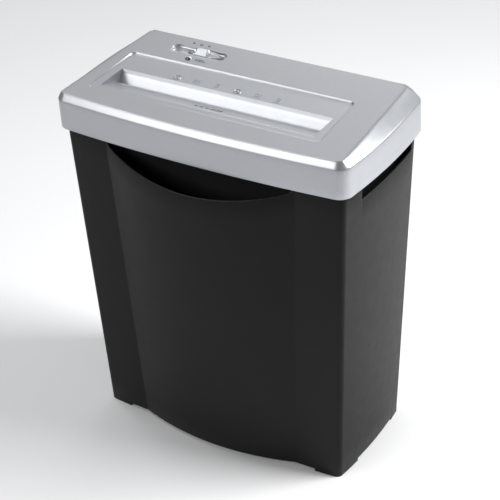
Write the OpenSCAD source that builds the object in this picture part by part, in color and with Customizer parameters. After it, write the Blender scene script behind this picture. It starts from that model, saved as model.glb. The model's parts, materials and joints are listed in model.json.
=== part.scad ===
// Small strip-cut paper shredder: a drive head that lifts off a waste bin.
// Millimetres. +Z is up, -Y is the front, +X is the right-hand side.
// The origin is on the floor, under the middle of the whole machine.

/* [Drive head] */
// Width across the corners of the head
head_w = 310; // [280:1:340]
// Depth from the front corners to the back
head_d = 144; // [130:1:170]
// Bow of each end of the head
end_bow = 4.4; // [1:0.1:8]
// Bow of the front of the head
front_bow = 6.7; // [1:0.1:10]
// Height of the seam between the bin and the head
seam_z = 319.5; // [300:0.5:340]
// Height of the top at its front edge
top_z = 355.4; // [345:0.1:370]
// Rise of the top towards the back, in degrees
top_slope = 2.9; // [0:0.1:6]
// Slope of the bevel along each end of the top, in degrees
end_bevel = 37.2; // [20:0.1:50]
// Half width of the flat top at its front edge
flat_half = 150.8; // [140:0.1:154]
// Height where the front bevel starts
bevel_z = 348.6; // [335:0.1:352]
// Lean of the front bevel from upright, in degrees
bevel_lean = 28.7; // [10:0.1:50]
// Wall of the head cover
cover_wall = 3.2; // [2.4:0.1:4]
// Thickness of the top of the cover
skin = 3; // [2.4:0.1:4]

/* [Paper inlet] */
// Left end of the inlet trough
trough_x0 = -123.5; // [-130:0.5:-115]
// Right end of the inlet trough
trough_x1 = 107; // [100:0.5:115]
// Front lip of the slot
lip_y = -17; // [-20:0.1:-15]
// Gap between the two walls of the slot
slot_gap = 7; // [5:0.1:9]

/* [Cutters] */
// Radius of a cutter disc
disc_r = 14; // [12:0.1:15]
// Thickness of a cutter disc
disc_t = 5.8; // [5:0.1:5.9]
// Distance from one disc to the next on a shaft
disc_pitch = 12; // [12:0.1:13]
// Teeth on each of the two gears that link the cutter shafts
link_teeth = 17; // [17:1:17]
// Module of the link gears
link_mod = 1.5; // [1.5:0.1:1.5]
// Height of the cutter shafts
shaft_z = 312; // [305:1:316]
// Radius of the shaft journals
journal_r = 4; // [3:0.1:5]
// Radial running clearance of every bearing
run_gap = 0.05; // [0.02:0.01:0.1]

/* [Drive] */
// Depth position of the motor
motor_y = 41; // [40:0.5:44]
// Height of the motor
motor_z = 300; // [297:0.5:303]
// Outer radius of the motor can
motor_r = 19.5; // [17:0.1:20]

/* [Waste bin] */
// Half width of the bin at its foot
foot_half = 137; // [125:0.5:145]
// Half width of the bin at its rim
rim_half = 150.5; // [140:0.5:152]
// Wall of the bin
bin_wall = 2.2; // [1.8:0.1:3]
// Height of the corner feet
foot_h = 3; // [2:0.1:6]
// How far the front panel bulges at the foot
bulge_low = 14.5; // [5:0.5:25]
// How far the front panel bulges at the rim
bulge_high = 26; // [10:0.5:35]

/* [Hidden] */

silver = [0.66, 0.67, 0.69];
black = [0.1, 0.1, 0.11];
steel = [0.6, 0.61, 0.63];
nylon = [0.88, 0.87, 0.82];
brass = [0.78, 0.62, 0.34];
green = [0.1, 0.35, 0.2];

plan_y = 9.85;
half_w = head_w / 2;
half_d = head_d / 2;
front_r = (half_w * half_w + front_bow * front_bow) / (2 * front_bow);
end_r = (half_d * half_d + end_bow * end_bow) / (2 * end_bow);
front_y = -half_d - front_bow;
bevel_r = front_r / cos(bevel_lean);
// Plan corners of the head: radii, and centres that let them touch the bowed sides.
front_corner_r = 13;
back_corner_r = 4;
front_corner = [143.29, -59.93];
back_corner = [151.45, half_d - back_corner_r];
bin_corner_r = 6;
hinge_y = -69;
flange_t = 2.5;
flange_z = seam_z + flange_t;

nip_y = lip_y + slot_gap / 2;
axle_gap = link_teeth * link_mod;
front_y_axis = nip_y - axle_gap / 2;
back_y_axis = nip_y + axle_gap / 2;
disc_x0 = -117;
disc_n = 19;
hex_r = 7;
seat_hex_r = 3.9;
spacer_r = 8.75;

plate_t = 2;
left_plate_x = -126;
right_plate_x = 106;
plate_low = 274.5;
plate_high = 334;
bush_r = 7;
link_x = 110.5;
link_t = 7;
drive_x = 119;
drive_t = 6;
first_x = 126.5;
first_t = 5;
gear_plate_x = 133;

drive_teeth = 40;
idler_teeth = 12;
low_mod = 1.25;
first_teeth = 60;
pinion_teeth = 12;
high_mod = 0.8;
low_gap = (drive_teeth + idler_teeth) * low_mod / 2;
high_gap = (first_teeth + pinion_teeth) * high_mod / 2;
span = norm([back_y_axis - motor_y, shaft_z - motor_z]);
along = (high_gap * high_gap - low_gap * low_gap + span * span) / (2 * span);
across = sqrt(high_gap * high_gap - along * along);
dir_y = (back_y_axis - motor_y) / span;
dir_z = (shaft_z - motor_z) / span;
idler_y = motor_y + along * dir_y + across * dir_z;
idler_z = motor_z + along * dir_z - across * dir_y;
idler_r = 4;

to_idler = atan2(idler_z - shaft_z, idler_y - back_y_axis);
to_motor = atan2(motor_z - idler_z, motor_y - idler_y);
idler_phase = to_idler + 180 + 180 / idler_teeth;
first_phase = to_motor;
pinion_phase = to_motor + 180 + 180 / pinion_teeth;

tub_x0 = -140;
tub_x1 = 138;
tub_y0 = -56;
tub_y1 = 24;
bay_x0 = 12;
bay_y1 = 63.5;
tub_z = 272;
tub_floor = 2.5;
tub_wall = 2;

well_x0 = -103;
well_x1 = -41;
well_y = 48.8;
well_r = 8.3;
well_depth = 3;
slider_x = -64;
slider_y = 49.6;
slider_len = 42;
slider_w = 12;
slider_travel = 17.5;

motor_x0 = 34;
motor_x1 = 106;
motor_shaft_r = 2.5;
lock_x = -15;
lock_y = 60;
lock_r = 2.5;
gland_x = -105;
gland_z = 330;
gland_r = 4.8;
cord_r = 3.4;
led_x = -74;
led_y = 34.8;
led_r = 3.2;
board_z = 338;
board_t = 1.6;
cover_holes = [[-125, -60], [125, -60], [-125, 62], [144.5, 50]];
foot_holes = [[-131, -42], [-131, 12], [113, -42], [113, 50]];
rod_spots = [[-47, 288], [17, 290], [9, 328.5], [-36, 328.5]];
post_spots = [[10, 284], [54, 284], [55.5, 336]];
panel_slope = atan(tan(top_slope) - 1.5 / 74.2);
board_holes = [[-102, 35], [-38, 35], [-102, 57], [-38, 57]];

function lerp(a, b, t) = a + (b - a) * t;
function top_at(y) = top_z + (y - hinge_y) * tan(top_slope);
function panel_at(y) = top_at(y) - lerp(0.4, 1.9, (y + 48.6) / 74.2);
function ramp_at(y) = lerp(349.2, top_at(-40.5) - 0.6, (lip_y - y) / 23.5);

// Points round a plan with bowed sides and rounded corners.
function bowed(hw, yf, yb, side, front, back, r) = concat(
  [for (i = [0:4]) let (a = 180 + 22.5 * i) [-hw + r + r * cos(a), yf + r + r * sin(a)]],
  [for (i = [1:13]) let (s = -1 + i / 7) [s * (hw - r), yf - front * (1 - s * s)]],
  [for (i = [0:4]) let (a = 270 + 22.5 * i) [hw - r + r * cos(a), yf + r + r * sin(a)]],
  [for (i = [1:9]) let (s = -1 + i / 5)
    [hw + side * (1 - s * s), lerp(yf + r, yb - r, (s + 1) / 2)]],
  [for (i = [0:4]) let (a = 22.5 * i) [hw - r + r * cos(a), yb - r + r * sin(a)]],
  [for (i = [1:7]) let (s = 1 - i / 4) [s * (hw - r), yb + back * (1 - s * s)]],
  [for (i = [0:4]) let (a = 90 + 22.5 * i) [-hw + r + r * cos(a), yb - r + r * sin(a)]],
  [for (i = [1:9]) let (s = 1 - i / 5)
    [-hw - side * (1 - s * s), lerp(yf + r, yb - r, (s + 1) / 2)]]
);

// Points of an involute gear wheel, with a tooth centred on the first axis.
function inv(a) = tan(a) * 180 / PI - a;
function half_tooth(m, n, r) =
  let (pitch = m * n / 2, base = pitch * cos(25))
  86 / n + inv(25) - inv(acos(min(1, base / r)));
function wheel(m, n) =
  let (pitch = m * n / 2, root = pitch - 1.1 * m, base = pitch * cos(25))
  let (low = max(root, base), tip = pitch + 0.8 * m)
  let (steps = [for (k = [0:3]) lerp(low, tip, k / 3)])
  [for (i = [0:n - 1]) each concat(
    [let (a = (360 * i - 12) / n - half_tooth(m, n, low)) root * [cos(a), sin(a)]],
    [for (r = steps) let (a = 360 * i / n - half_tooth(m, n, r)) r * [cos(a), sin(a)]],
    [for (k = [3:-1:0]) let (r = steps[k], a = 360 * i / n + half_tooth(m, n, r))
      r * [cos(a), sin(a)]],
    [let (a = (360 * i + 12) / n + half_tooth(m, n, low)) root * [cos(a), sin(a)]]
  )];

module in_place() {
  translate([0, plan_y, 0]) children();
}

// Stands a flat shape drawn in (y, z) up across the machine, starting at x.
module across_x(x, y = 0, z = 0) {
  translate([x, y, z]) rotate([90, 0, 90]) children();
}

module rod_x(x0, x1, y, z, r, sides = 48) {
  across_x(x0, y, z) cylinder(h = x1 - x0, r = r, $fn = sides);
}

module rounded_rect(x0, y0, x1, y1, r) {
  translate([x0 + r, y0]) square([x1 - x0 - 2 * r, y1 - y0]);
  translate([x0, y0 + r]) square([x1 - x0, y1 - y0 - 2 * r]);
  for (x = [x0 + r, x1 - r], y = [y0 + r, y1 - r]) {
    translate([x, y]) circle(r = r, $fn = 32);
  }
}

// ---------------------------------------------------------------- waste bin

module bin_hull(inset, z0, z1) {
  hull() {
    for (z = [z0, z1]) {
      t = z / seam_z;
      translate([0, 0, z - (z == z1 ? 0.02 : 0)]) linear_extrude(0.02) polygon(
        bowed(lerp(foot_half, rim_half, t) - inset, -66 + inset,
          lerp(56, 71.5, t) - inset, 3.4, 4.6, 0.4, bin_corner_r - inset));
    }
  }
}

module bulge_hull(shift, z0, z1) {
  hull() {
    for (z = [z0, z1]) {
      t = z / seam_z;
      c = lerp(88, 103, t);
      g = lerp(bulge_low, bulge_high, t);
      translate([0, 0, z - (z == z1 ? 0.02 : 0)]) linear_extrude(0.02) polygon(concat(
        [for (i = [0:24]) let (s = -1 + i / 12) [s * c, -68.5 + shift - g * (1 - s * s)]],
        [[c - 6, -56 + shift * 4], [6 - c, -56 + shift * 4]]));
    }
  }
}

module bin() in_place() color(black) {
  difference() {
    union() {
      bin_hull(0, 0, seam_z);
      bulge_hull(0, foot_h, seam_z);
    }
    bin_hull(bin_wall, foot_h + bin_wall, seam_z + 4);
    bulge_hull(bin_wall, foot_h + bin_wall, seam_z + 4);
    // Raised skirt between the corner feet.
    translate([-110, -120, -1]) cube([220, 240, foot_h + 1]);
    translate([-170, -34.5, -1]) cube([340, 71.5, foot_h + 1]);
    // Crescent opening over the bulged front panel.
    intersection() {
      translate([0, -40, 297 + 329]) rotate([90, 0, 0]) cylinder(h = 80, r = 329, $fn = 360);
      translate([-101, -130, 280]) cube([202, 90, 80]);
    }
    // Hand cut-out at each end.
    for (x = [-170, 120]) {
      translate([x, -37.5, 302.5]) cube([50, 98.5, 40]);
    }
  }
  // Rib that holds the interlock plunger up while the bin is in place.
  translate([lock_x - 4, lock_y - 4, 301]) cube([8, 13, seam_z - 301]);
  // Moulded nub under the bulge.
  translate([-4, -76, 0.6]) cylinder(h = foot_h, r = 2.5, $fn = 24);
}

// ---------------------------------------------------------------- head shell

module head_plan(inset) {
  intersection() {
    translate([0, front_y + front_r]) circle(r = front_r - inset, $fn = 720);
    translate([half_w + end_bow - end_r, 0]) circle(r = end_r - inset, $fn = 720);
    translate([end_r - half_w - end_bow, 0]) circle(r = end_r - inset, $fn = 720);
    translate([-200, -200]) square([400, 200 + half_d - inset]);
    union() {
      square([2 * front_corner[0], 400], center = true);
      translate([-back_corner[0], 0]) square([2 * back_corner[0], 200]);
      translate([-200, front_corner[1]]) square([400, back_corner[1] - front_corner[1]]);
      for (x = [-1, 1]) {
        translate([x * front_corner[0], front_corner[1]])
          circle(r = front_corner_r - inset, $fn = 64);
        translate([x * back_corner[0], back_corner[1]])
          circle(r = back_corner_r - inset, $fn = 48);
      }
    }
  }
}

// A slab parallel to the sloped top, from low to high below it.
module slab(low, high) {
  translate([0, hinge_y, top_z - low]) rotate([top_slope, 0, 0])
    translate([-200, -80, 0]) cube([400, 300, low - high]);
}

module head_solid(inset, drop, z0) {
  intersection() {
    difference() {
      translate([0, 0, z0]) linear_extrude(60) head_plan(inset);
      slab(drop, drop - 60);
      for (m = [0, 1]) {
        mirror([m, 0, 0]) translate([flat_half, 0, top_z - drop]) rotate([0, end_bevel, 0])
          translate([-90, -150, 0]) cube([200, 300, 60]);
      }
    }
    translate([0, front_y, bevel_z]) rotate([-bevel_lean, 0, 0])
      translate([0, bevel_r, -300]) cylinder(h = 600, r = bevel_r - inset, $fn = 720);
  }
}

module trough_block() {
  across_x(trough_x0 - 2.2) linear_extrude(trough_x1 - trough_x0 + 4.4) polygon([
    [-2.6, top_at(-2.6) - 2], [-2.6, 352], [-7.6, 342.5], [-7.6, 340.5],
    [lip_y - 2.2, 340.5], [lip_y - 2.2, 346.4], [-44, 353.2], [-44, top_at(-44) - 2]]);
}

module trough_cut() {
  across_x(trough_x0) linear_extrude(trough_x1 - trough_x0) polygon([
    [-5, 370], [-5, top_at(-5) - 2], [-6, 353], [-8, 348.6], [lip_y + slot_gap, 346],
    [lip_y + slot_gap, 345], [lip_y, 345], [lip_y, ramp_at(lip_y)], [-40.5, ramp_at(-40.5)],
    [-41.5, 370]]);
  across_x(trough_x0 + 2.5) linear_extrude(trough_x1 - trough_x0 - 5)
    translate([lip_y, 330]) square([slot_gap, 18]);
}

module panel_plan() {
  r = 6;
  intersection() {
    rounded_rect(-133, -48.6, 117, 25.6, r);
    translate([117, -48.6]) rotate(3.4) translate([-300, -20]) square([300, 140]);
  }
}

// A frame on the sloped top at (x, y), with z measured from its surface.
module on_top(x, y) {
  translate([x, y, top_at(y)]) rotate([top_slope, 0, 0]) children();
}

module well_plan() {
  translate([well_x0 + well_r, -well_r]) square([well_x1 - well_x0 - 2 * well_r, 2 * well_r]);
  for (x = [well_x0 + well_r, well_x1 - well_r]) {
    translate([x, 0]) circle(r = well_r, $fn = 48);
  }
}

module boss(x, y, z, r) {
  intersection() {
    translate([x, y, z]) cylinder(h = 60, r = r, $fn = 32);
    head_solid(1, 1, seam_z);
  }
}

module head_cover() in_place() color(silver) difference() {
  union() {
    difference() {
      head_solid(0, 0, seam_z);
      head_solid(cover_wall, skin, seam_z - 10);
    }
    // Thicker skin under the shallow panel and under the switch.
    intersection() {
      slab(5.2, 1);
      union() {
        translate([-136, -52, 330]) cube([256, 81, 40]);
        translate([-107, 29, 330]) cube([70, 33, 40]);
      }
    }
    trough_block();
    for (p = cover_holes) boss(p[0], p[1], flange_z, 3.6);
    for (p = board_holes) boss(p[0], p[1], board_z + board_t, 3);
    boss(lock_x, lock_y, 352, 4.5);
  }
  // Shallow panel round the inlet, deeper towards the back.
  intersection() {
    translate([0, 0, 340]) linear_extrude(40) panel_plan();
    translate([-200, -48.6, panel_at(-48.6)]) rotate([panel_slope, 0, 0])
      translate([0, -20, 0]) cube([400, 120, 30]);
  }
  trough_cut();
  on_top(0, well_y) translate([0, 0, -well_depth]) linear_extrude(20) well_plan();
  translate([slider_x - slider_travel - 2, slider_y - 2, 340]) cube([slider_travel + 4, 4, 30]);
  translate([led_x, led_y, 345]) cylinder(h = 30, r = led_r, $fn = 32);
  translate([gland_x, 80, gland_z]) rotate([90, 0, 0]) cylinder(h = 20, r = gland_r, $fn = 32);
  // Vents behind the motor.
  for (i = [0:7]) translate([40 + 9 * i, half_d - 6, 328]) cube([3, 12, 16]);
  for (p = cover_holes) translate([p[0], p[1], flange_z - 1]) cylinder(h = 11, r = 1.6, $fn = 24);
  for (p = board_holes) {
    translate([p[0], p[1], board_z]) cylinder(h = 9, r = 1.2, $fn = 24);
  }
}

module tub(grow, z0, z1) {
  translate([tub_x0 - grow, tub_y0 - grow, z0])
    cube([tub_x1 - tub_x0 + 2 * grow, tub_y1 - tub_y0 + 2 * grow, z1 - z0]);
  translate([bay_x0 - grow, 0, z0])
    cube([tub_x1 - bay_x0 + 2 * grow, bay_y1 + grow, z1 - z0]);
}

module head_base() in_place() color(black) difference() {
  union() {
    translate([0, 0, seam_z]) linear_extrude(flange_t) head_plan(cover_wall + 0.3);
    tub(0, tub_z, flange_z);
    translate([lock_x, lock_y, flange_z - 1]) cylinder(h = 13, r = 4.5, $fn = 32);
  }
  tub(-tub_wall, tub_z + tub_floor, flange_z + 1);
  // Opening the strips fall through.
  translate([-122, -38, tub_z - 1]) cube([226, 50, tub_floor + 2]);
  translate([lock_x, lock_y, seam_z - 1]) cylinder(h = 20, r = lock_r + run_gap, $fn = 32);
  for (p = cover_holes) translate([p[0], p[1], seam_z - 1]) cylinder(h = 5, r = 1.7, $fn = 24);
  for (p = foot_holes) translate([p[0], p[1], tub_z - 1]) cylinder(h = 5, r = 1.5, $fn = 24);
}

// ---------------------------------------------------------------- marks

mark_y = 1.8;
mark_w = 1.1;
mark_h = 0.6;

module ring_mark(r, w) {
  difference() {
    circle(r = r, $fn = 32);
    circle(r = r - w, $fn = 32);
  }
}

module frame_mark(w, h, t) {
  difference() {
    square([w, h], center = true);
    square([w - 2 * t, h - 2 * t], center = true);
  }
}

// Plain pictures moulded behind the inlet: a disc, a card and a sheet.
module raised_marks() in_place() color(silver) {
  for (i = [0:5]) {
    translate([-64.6 + 22.2 * i, mark_y, panel_at(mark_y)]) rotate([panel_slope, 0, 0])
      linear_extrude(mark_h) {
        if (i % 3 == 0) {
          ring_mark(4.2, mark_w);
          circle(r = 1.5, $fn = 24);
        }
        if (i % 3 == 1) {
          frame_mark(8.8, 6.4, mark_w);
          translate([0, -0.8]) square([4.6, mark_w], center = true);
        }
        if (i % 3 == 2) {
          frame_mark(6.8, 8.2, mark_w);
          translate([0, 1.2]) square([2.6, mark_w], center = true);
          translate([0, -1.2]) square([2.6, mark_w], center = true);
        }
      }
  }
}

// Printed arrows, a ring and bars that stand where a maker prints words.
module printed_marks() in_place() color(black) {
  on_top(slider_x - slider_travel - 4.5, 63) linear_extrude(0.15) circle(r = 1.9, $fn = 3);
  on_top(slider_x - slider_travel / 2 - 4.5, 63) linear_extrude(0.15) ring_mark(1.8, 0.6);
  on_top(slider_x - 4.5, 63) linear_extrude(0.15) rotate(180) circle(r = 1.9, $fn = 3);
  on_top(led_x + 8, led_y) linear_extrude(0.15) {
    translate([0, -1.4]) square([1, 2.8]);
    translate([2.4, -1.4]) square([9, 0.8]);
    translate([2.4, 0.6]) square([6, 0.8]);
  }
  translate([-7, -33, ramp_at(-33)]) rotate([-atan((ramp_at(-33) - ramp_at(-23)) / 10), 0, 0])
    linear_extrude(0.15) {
      for (i = [0:2]) translate([-14 + 6 * i, 0]) rotate(-90) circle(r = 2.4, $fn = 3);
      for (i = [0:3]) translate([3 + 3.2 * i, -2.2]) square([1.6, 4.4]);
    }
}

// ---------------------------------------------------------------- controls

module leaf(len, w) {
  r = (len * len + w * w) / (4 * w);
  intersection() {
    translate([0, w / 2 - r]) circle(r = r, $fn = 180);
    translate([0, r - w / 2]) circle(r = r, $fn = 180);
  }
}

module mode_slider() in_place() color(silver) {
  on_top(slider_x, slider_y) {
    difference() {
      translate([0, 0, -2.85]) linear_extrude(1.85) leaf(slider_len, slider_w);
      translate([0, 0, -1.8]) linear_extrude(2) leaf(slider_len - 7, slider_w - 2.4);
    }
    intersection() {
      translate([-9.5, 0, 0]) across_x(0) linear_extrude(11) polygon([
        [-6, -2.5], [6, -2.5], [6, 0.6], [4, 1.9], [0, 1.9], [-4, 0.2], [-6, -1.2]]);
      translate([0, 0, -3]) linear_extrude(10) leaf(slider_len, slider_w);
    }
  }
  translate([slider_x - 1.5, slider_y - 1.5, 345.4])
    cube([3, 3, top_at(slider_y - 1.5) - 2.2 - 345.4]);
}

module mode_switch() in_place() color(black) difference() {
  translate([-88, slider_y - 5, board_z + board_t]) cube([30, 10, 10]);
  translate([slider_x - slider_travel - 2, slider_y - 1.9, 345]) cube([slider_travel + 4, 3.8, 10]);
}

module power_led() in_place() color([0.4, 0.75, 0.4]) {
  translate([led_x, led_y, board_z + board_t]) cylinder(h = 14, r = 2.4, $fn = 32);
  intersection() {
    translate([led_x, led_y, 352]) cylinder(h = 12, r = led_r, $fn = 32);
    translate([led_x, led_y, top_at(led_y) - 2.4]) sphere(r = 4, $fn = 48);
  }
  translate([led_x, led_y, 352]) cylinder(h = 7, r = led_r, $fn = 32);
}

module control_board() in_place() color(green) difference() {
  translate([-105, 32, board_z]) cube([70, 28, board_t]);
  for (p = board_holes) {
    translate([p[0], p[1], board_z - 1]) cylinder(h = 4, r = 1.4, $fn = 24);
  }
}

// A pan-head screw with its head at z, pointing up or down.
module screw(x, y, z, len, r, head_r, head_h, up) {
  translate([x, y, z]) mirror([0, 0, up ? 0 : 1]) {
    cylinder(h = len, r = r, $fn = 24);
    difference() {
      translate([0, 0, -head_h]) cylinder(h = head_h, r = head_r, $fn = 32);
      translate([-head_r * 0.6, -0.35, -head_h - 1]) cube([head_r * 1.2, 0.7, head_h * 0.5 + 1]);
      translate([-0.35, -head_r * 0.6, -head_h - 1]) cube([0.7, head_r * 1.2, head_h * 0.5 + 1]);
    }
  }
}

module board_screws() in_place() color(steel) {
  for (p = board_holes) screw(p[0], p[1], board_z, 8, 1.2, 2.4, 1.5, true);
}

module cover_screws() in_place() color(steel) {
  for (p = cover_holes) screw(p[0], p[1], seam_z, 11.5, 1.6, 3, 1.9, true);
}

module capacitor() in_place() color([0.2, 0.22, 0.45]) {
  translate([-90, 38, board_z + board_t]) cylinder(h = 14, r = 5, $fn = 32);
}

module relay() in_place() color([0.15, 0.3, 0.55]) {
  translate([-60, 33.5, board_z + board_t]) cube([15, 9.5, 11.5]);
}

module terminal_block() in_place() color(nylon) difference() {
  translate([-113, 30, flange_z]) cube([16, 11, 9]);
  for (x = [-109, -101]) {
    translate([x, 42, flange_z + 4]) rotate([90, 0, 0]) cylinder(h = 8, r = 1.8, $fn = 24);
    translate([x, 35.5, flange_z + 5]) cylinder(h = 6, r = 1.6, $fn = 24);
  }
}

// The cord is left out; this is the soft sleeve it would pass through.
module cord_gland() in_place() color(black) translate([gland_x, 0, gland_z]) rotate([-90, 0, 0])
  difference() {
    union() {
      translate([0, 0, half_d - cover_wall - 1.5]) cylinder(h = 1.5, r = 6, $fn = 32);
      translate([0, 0, half_d - cover_wall]) cylinder(h = cover_wall, r = gland_r, $fn = 32);
      translate([0, 0, half_d]) cylinder(h = 2, r = 6.5, $fn = 32);
    }
    cylinder(h = 100, r = cord_r, $fn = 32);
  }

// ---------------------------------------------------------------- paper path

module guide(y) {
  difference() {
    translate([left_plate_x + plate_t, y, 328])
      cube([right_plate_x - left_plate_x - plate_t, 2, 12]);
    translate([-9, y + 3, 334]) rotate([90, 0, 0]) cylinder(h = 4, r = 1.5, $fn = 24);
  }
}

module throat_guide_front() in_place() color(black) guide(lip_y - 2);

module throat_guide_back() in_place() color(black) guide(lip_y + slot_gap);

// The lamp and the eye that see paper between the guides.
module paper_sensors() in_place() color(nylon) {
  for (y = [lip_y - 8, lip_y + slot_gap + 2]) translate([-13, y, 330]) cube([8, 6, 8]);
}

module finger_comb(first_x0, count) {
  difference() {
    union() {
      translate([left_plate_x + plate_t, -46, 301])
        cube([right_plate_x - left_plate_x - plate_t, 4, 22]);
      for (i = [0:count - 1]) {
        translate([first_x0 + disc_pitch * i - 2.2, -43, 301]) cube([4.4, 15, 22]);
      }
    }
    rod_x(left_plate_x, right_plate_x, front_y_axis, shaft_z, spacer_r + 0.4);
  }
}

module comb_front() in_place() color(nylon) finger_comb(disc_x0 + disc_pitch / 2, disc_n - 1);

module comb_back() in_place() color(nylon)
  translate([0, 2 * nip_y, 0]) mirror([0, 1, 0]) finger_comb(disc_x0, disc_n);

// ---------------------------------------------------------------- cutters

module cutter_shaft(y, end_x) {
  rod_x(-122.5, 104.5, y, shaft_z, hex_r, 6);
  rod_x(-129, -122.5, y, shaft_z, journal_r);
  rod_x(104.5, 109.8, y, shaft_z, journal_r);
  rod_x(109.8, end_x, y, shaft_z, seat_hex_r, 6);
}

module discs(y, x0, count) {
  for (i = [0:count - 1]) translate([x0 + disc_pitch * i - disc_t / 2, y, shaft_z])
    rotate([90, 0, 90]) difference() {
      cylinder(h = disc_t, r = disc_r, $fn = 96);
      translate([0, 0, -1]) cylinder(h = disc_t + 2, r = hex_r, $fn = 6);
      for (a = [30:120:270]) rotate(a) translate([disc_r + 0.5, 0, -1])
        cylinder(h = disc_t + 2, r = 1.3, $fn = 24);
    }
}

module spacers(y, x0, count) {
  for (i = [0:count - 1]) translate([x0 + disc_pitch * i - (disc_pitch - disc_t) / 2, y, shaft_z])
    rotate([90, 0, 90]) difference() {
      cylinder(h = disc_pitch - disc_t, r = spacer_r, $fn = 64);
      translate([0, 0, -1]) cylinder(h = disc_pitch, r = hex_r, $fn = 6);
    }
}

module hex_wheel(x, y, t, m, n, phase) {
  across_x(x, y, shaft_z) difference() {
    rotate(phase) linear_extrude(t) polygon(wheel(m, n));
    translate([0, 0, -1]) cylinder(h = t + 2, r = seat_hex_r, $fn = 6);
  }
}

module front_shaft() in_place() color(steel) cutter_shaft(front_y_axis, link_x + link_t + 0.5);
module front_discs() in_place() color(steel) discs(front_y_axis, disc_x0, disc_n);
module front_spacers() in_place() color(steel)
  spacers(front_y_axis, disc_x0 + disc_pitch / 2, disc_n - 1);
module front_link_gear() in_place() color(steel)
  hex_wheel(link_x, front_y_axis, link_t, link_mod, link_teeth, 180 / link_teeth);

module back_shaft() in_place() color(steel) cutter_shaft(back_y_axis, drive_x + drive_t + 0.5);
module back_discs() in_place() color(steel)
  discs(back_y_axis, disc_x0 + disc_pitch / 2, disc_n - 1);
module back_spacers() in_place() color(steel) spacers(back_y_axis, disc_x0, disc_n);
module back_link_gear() in_place() color(steel)
  hex_wheel(link_x, back_y_axis, link_t, link_mod, link_teeth, 180);
module drive_gear() in_place() color(nylon)
  hex_wheel(drive_x, back_y_axis, drive_t, low_mod, drive_teeth, to_idler);

// ---------------------------------------------------------------- frame

module plate_holes(x) {
  for (y = [front_y_axis, back_y_axis]) rod_x(x - 1, x + plate_t + 1, y, shaft_z, bush_r);
}

module side_plate_left() in_place() color(steel) difference() {
  union() {
    translate([left_plate_x, -50, plate_low]) cube([plate_t, 70, plate_high - plate_low]);
    translate([left_plate_x - 10, -50, plate_low]) cube([10, 70, plate_t]);
  }
  plate_holes(left_plate_x);
  for (p = rod_spots) rod_x(left_plate_x - 1, left_plate_x + 3, p[0], p[1], 1.5, 24);
  for (p = foot_holes) translate([p[0], p[1], plate_low - 1]) cylinder(h = 5, r = 1.6, $fn = 24);
}

module side_plate_right() in_place() color(steel) difference() {
  union() {
    across_x(right_plate_x) linear_extrude(plate_t) polygon([
      [-50, plate_low], [60, plate_low], [60, 342], [46, 342], [38, plate_high], [-50, plate_high]]);
    translate([right_plate_x, -50, plate_low]) cube([12, 110, plate_t]);
  }
  plate_holes(right_plate_x);
  rod_x(right_plate_x - 1, right_plate_x + 3, idler_y, idler_z, idler_r);
  rod_x(right_plate_x - 1, right_plate_x + 3, motor_y, motor_z, 6);
  for (z = [-13, 13]) rod_x(right_plate_x - 1, right_plate_x + 3, motor_y, motor_z + z, 1.6, 24);
  for (p = rod_spots) rod_x(right_plate_x - 1, right_plate_x + 3, p[0], p[1], 1.5, 24);
  for (p = foot_holes) translate([p[0], p[1], plate_low - 1]) cylinder(h = 5, r = 1.6, $fn = 24);
}

module frame_screws() in_place() color(steel) {
  for (p = foot_holes) screw(p[0], p[1], plate_low + plate_t, 4.4, 1.5, 2.8, 1.8, false);
}

// Tie rods with a turned-down spigot riveted into each side plate.
module tie_rods() in_place() color(steel) {
  for (p = rod_spots) {
    rod_x(left_plate_x + plate_t, right_plate_x, p[0], p[1], 3, 32);
    rod_x(left_plate_x - 1, right_plate_x + plate_t + 1, p[0], p[1], 1.5, 24);
  }
}

module bush(x0, x1, flange_x0, y) {
  difference() {
    union() {
      rod_x(x0, x1, y, shaft_z, bush_r);
      rod_x(flange_x0, flange_x0 + 1, y, shaft_z, 9);
    }
    rod_x(x0 - 5, x1 + 5, y, shaft_z, journal_r + run_gap);
  }
}

module shaft_bushes() in_place() color(brass) {
  for (y = [front_y_axis, back_y_axis]) {
    bush(left_plate_x - 2, left_plate_x + plate_t + 1, left_plate_x + plate_t, y);
    bush(right_plate_x - 1, right_plate_x + plate_t + 1.5, right_plate_x - 1, y);
  }
}

module idler_axle() in_place() color(steel)
  rod_x(right_plate_x, gear_plate_x + 1.5, idler_y, idler_z, idler_r);

module idler_gear() in_place() color(nylon) difference() {
  union() {
    rod_x(right_plate_x + plate_t + 0.4, gear_plate_x - 0.4, idler_y, idler_z, 6);
    across_x(drive_x, idler_y, idler_z) rotate(idler_phase) linear_extrude(drive_t)
      polygon(wheel(low_mod, idler_teeth));
    across_x(first_x, idler_y, idler_z) rotate(first_phase) linear_extrude(first_t)
      polygon(wheel(high_mod, first_teeth));
  }
  rod_x(right_plate_x, gear_plate_x + 1, idler_y, idler_z, idler_r + run_gap);
}

module gear_plate() in_place() color(steel) difference() {
  across_x(gear_plate_x) linear_extrude(1.5) polygon([
    [4, 279], [60, 279], [60, 341], [48, 341], [20, 336], [4, 296]]);
  rod_x(gear_plate_x - 1, gear_plate_x + 3, idler_y, idler_z, idler_r);
  for (p = post_spots) rod_x(gear_plate_x - 1, gear_plate_x + 3, p[0], p[1], 1.5, 24);
}

module gear_posts() in_place() color(steel) {
  for (p = post_spots) difference() {
    rod_x(right_plate_x + plate_t, gear_plate_x, p[0], p[1], 3, 32);
    rod_x(gear_plate_x - 12, gear_plate_x + 1, p[0], p[1], 1.5, 24);
  }
}

module post_screws() in_place() color(steel) {
  for (p = post_spots) {
    rod_x(gear_plate_x - 9, gear_plate_x + 1.5, p[0], p[1], 1.5, 24);
    rod_x(gear_plate_x + 1.5, gear_plate_x + 2.7, p[0], p[1], 2.7, 32);
  }
}

// ---------------------------------------------------------------- motor

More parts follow.
